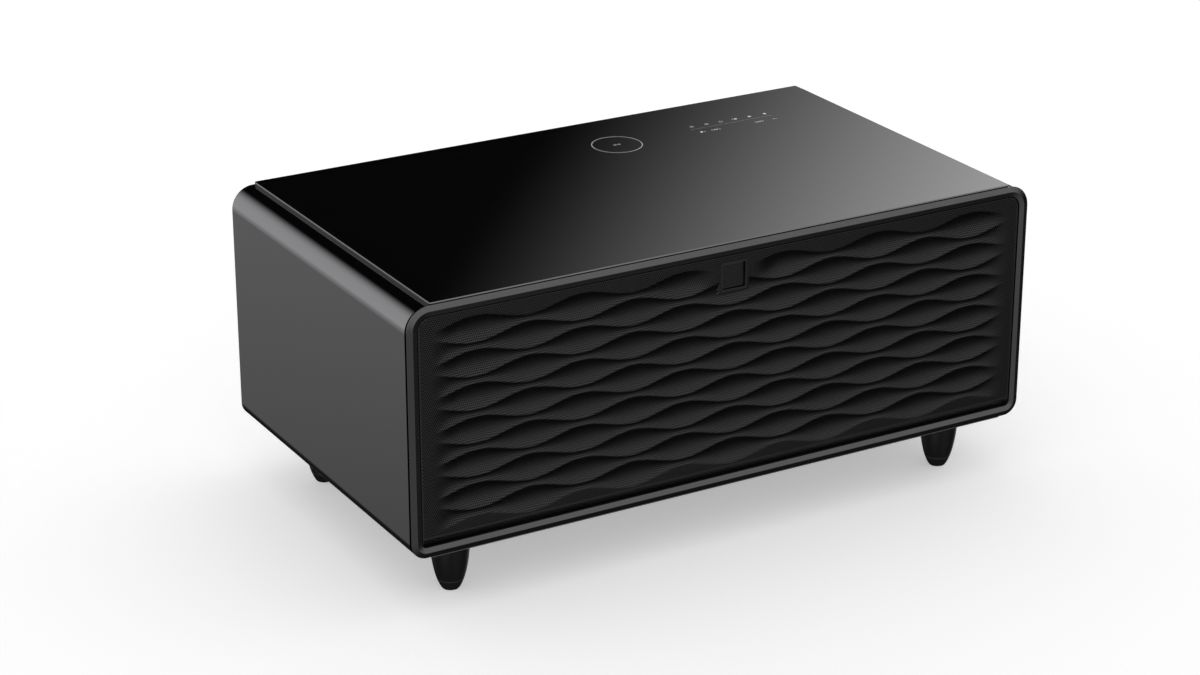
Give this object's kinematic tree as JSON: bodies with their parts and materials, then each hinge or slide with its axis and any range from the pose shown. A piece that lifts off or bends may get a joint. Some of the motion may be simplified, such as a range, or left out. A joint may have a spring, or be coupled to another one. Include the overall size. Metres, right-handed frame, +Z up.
{
  "type": "refrigerator coffee table",
  "caption": "Low coffee table that is a refrigerated cabinet: dark glass top with touch marks, wave-pressed perforated drawer front in a bevelled frame, short tapered feet.",
  "frame": {"origin": "on the floor under the middle of the table's outer size", "axes": "+X to the right along the front, +Y from the drawer front to the back, +Z up"},
  "size_m": [0.9, 0.505, 0.4058],
  "materials": {
    "shell_metal": "satin, dark grey",
    "bezel_metal": "satin, dark grey",
    "grille_metal": "satin, near black",
    "base_metal": "satin",
    "zinc_steel": "satin, zinc plated",
    "black_plastic": "matte",
    "pad_black": "matte",
    "top_glass": "polished, black back-painted",
    "leg_black": "satin",
    "glide_rubber": "matte",
    "white_plastic": "satin",
    "bin_plastic": "gloss",
    "foam": "matte foam",
    "aluminium_plate": "satin",
    "lamp_diffuser": "frosted",
    "speaker_cone": "matte",
    "compressor_paint": "semi-gloss black",
    "soft_rubber": "matte",
    "condenser_metal": "satin black",
    "copper_tube": "bare copper",
    "board_green": "matte",
    "coil_copper": "wound copper on ferrite",
    "contact_metal": "bright",
    "magnet_grey": "nickel plated"
  },
  "bodies": {
    "cabinet": {"back_panel": "zinc_steel", "base_plate": "base_metal", "base_screws": "zinc_steel", "catch_magnets": "magnet_grey", "charging_coil": "coil_copper", "compressor": "compressor_paint", "compressor_bolts": "zinc_steel", "compressor_mounts": "soft_rubber", "condenser": "condenser_metal", "control_board": "board_green", "control_tray": "black_plastic", "discharge_line": "copper_tube", "drip_tray": "black_plastic", "evaporator_plate": "aluminium_plate", "fan_housing": "black_plastic", "front_bezel": "bezel_metal", "front_frame": "black_plastic", "glass_top": "top_glass", "glide_back_left": "glide_rubber", "glide_back_right": "glide_rubber", "glide_front_left": "glide_rubber", "glide_front_right": "glide_rubber", "inlet_contacts": "contact_metal", "inlet_panel": "zinc_steel", "insulation": "foam", "interior_lamp": "lamp_diffuser", "leg_back_left": "leg_black", "leg_back_right": "leg_black", "leg_front_left": "leg_black", "leg_front_right": "leg_black", "leg_nuts": "zinc_steel", "leg_plates": "zinc_steel", "liner": "white_plastic", "outer_shell": "shell_metal", "power_inlet": "black_plastic", "slide_outer_left": "zinc_steel", "slide_outer_right": "zinc_steel", "speaker_box_left": "black_plastic", "speaker_box_right": "black_plastic", "speaker_left": "speaker_cone", "speaker_right": "speaker_cone", "suction_line": "copper_tube", "touch_board": "board_green"},
    "drawer": {"drawer_carrier": "black_plastic", "inner_panel": "white_plastic", "gasket": "soft_rubber", "drawer_bin": "bin_plastic", "bin_divider": "bin_plastic", "strike_plates": "zinc_steel", "grille": "grille_metal", "pad_spring": "zinc_steel", "pad_switch": "black_plastic", "slide_inner_left": "zinc_steel", "slide_inner_right": "zinc_steel"},
    "runners": {"slide_middle_left": "zinc_steel", "slide_middle_right": "zinc_steel"},
    "push_pad": {"push_pad": "pad_black"},
    "fan": {"fan_rotor": "black_plastic"}
  },
  "joints": [
    {"name": "drawer_slide", "type": "slide", "parent": "cabinet", "child": "drawer", "axis": [0, -1, 0], "range_m": [0, 0.27]},
    {"name": "runner_slide", "type": "slide", "parent": "cabinet", "child": "runners", "axis": [0, -1, 0], "range_m": [0, 0.135]},
    {"name": "pad_press", "type": "slide", "parent": "drawer", "child": "push_pad", "axis": [0, 1, 0], "range_m": [0, 0.003], "stiffness_N_per_m": 600, "springref_m": -0.001, "deforming": ["pad_spring"]},
    {"name": "fan_spin", "type": "hinge", "parent": "cabinet", "child": "fan", "pos_m": [-0.07, 0.18475, 0.135], "axis": [1, 0, 0], "continuous": true}
  ],
  "couplings": [
    {"joint": "runner_slide", "follows": "drawer_slide", "ratio": 0.5}
  ]
}
